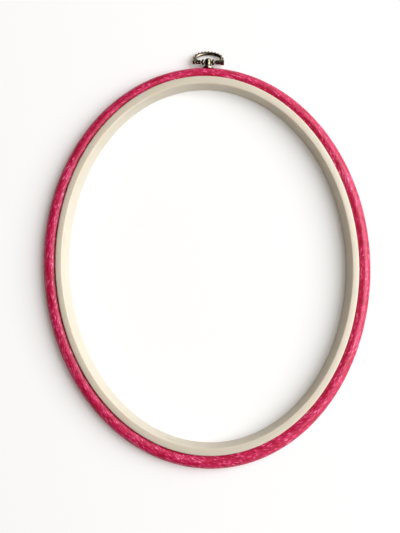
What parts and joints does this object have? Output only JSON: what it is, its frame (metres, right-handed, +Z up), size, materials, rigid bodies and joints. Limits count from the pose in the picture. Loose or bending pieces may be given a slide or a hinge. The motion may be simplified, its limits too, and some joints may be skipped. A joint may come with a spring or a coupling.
{
  "type": "flexible embroidery hoop",
  "caption": "Oval flexible embroidery hoop: a rigid lipped inner hoop held in a stretchy rubber outer hoop, with a swinging hanging ring at its upper end.",
  "frame": {"origin": "on the table, under the middle of the whole object's footprint", "axes": "+Z up from the table, out of the hoop's face; +Y along the oval towards the hanger; +X across the oval"},
  "size_m": [0.1836, 0.2356, 0.01],
  "materials": {
    "ivory_plastic": "satin moulded ivory plastic",
    "crimson_rubber": "satin crimson rubber with pale marbled streaks, like wood grain",
    "antique_metal": "polished dark antique plating, worn brighter on the edges"
  },
  "bodies": {
    "outer_hoop": {"rubber_hoop": "crimson_rubber", "post": "antique_metal", "ferrule": "antique_metal", "anchor_nut": "antique_metal", "crossbar_pin": "antique_metal", "bead_left": "antique_metal", "bead_right": "antique_metal", "end_cap_left": "antique_metal", "end_cap_right": "antique_metal"},
    "inner_hoop": {"inner_hoop": "ivory_plastic"},
    "hanging_ring": {"hanging_ring": "antique_metal"}
  },
  "joints": [
    {"name": "inner_hoop_lift", "type": "slide", "parent": "outer_hoop", "child": "inner_hoop", "axis": [0, 0, 1], "range_m": [0, 0.025]},
    {"name": "hanging_ring_swing", "type": "hinge", "parent": "outer_hoop", "child": "hanging_ring", "pos_m": [0.00654, 0.11043, 0.0042], "axis": [0.9969, -0.0788, 0], "range_deg": [-103, 157]}
  ]
}
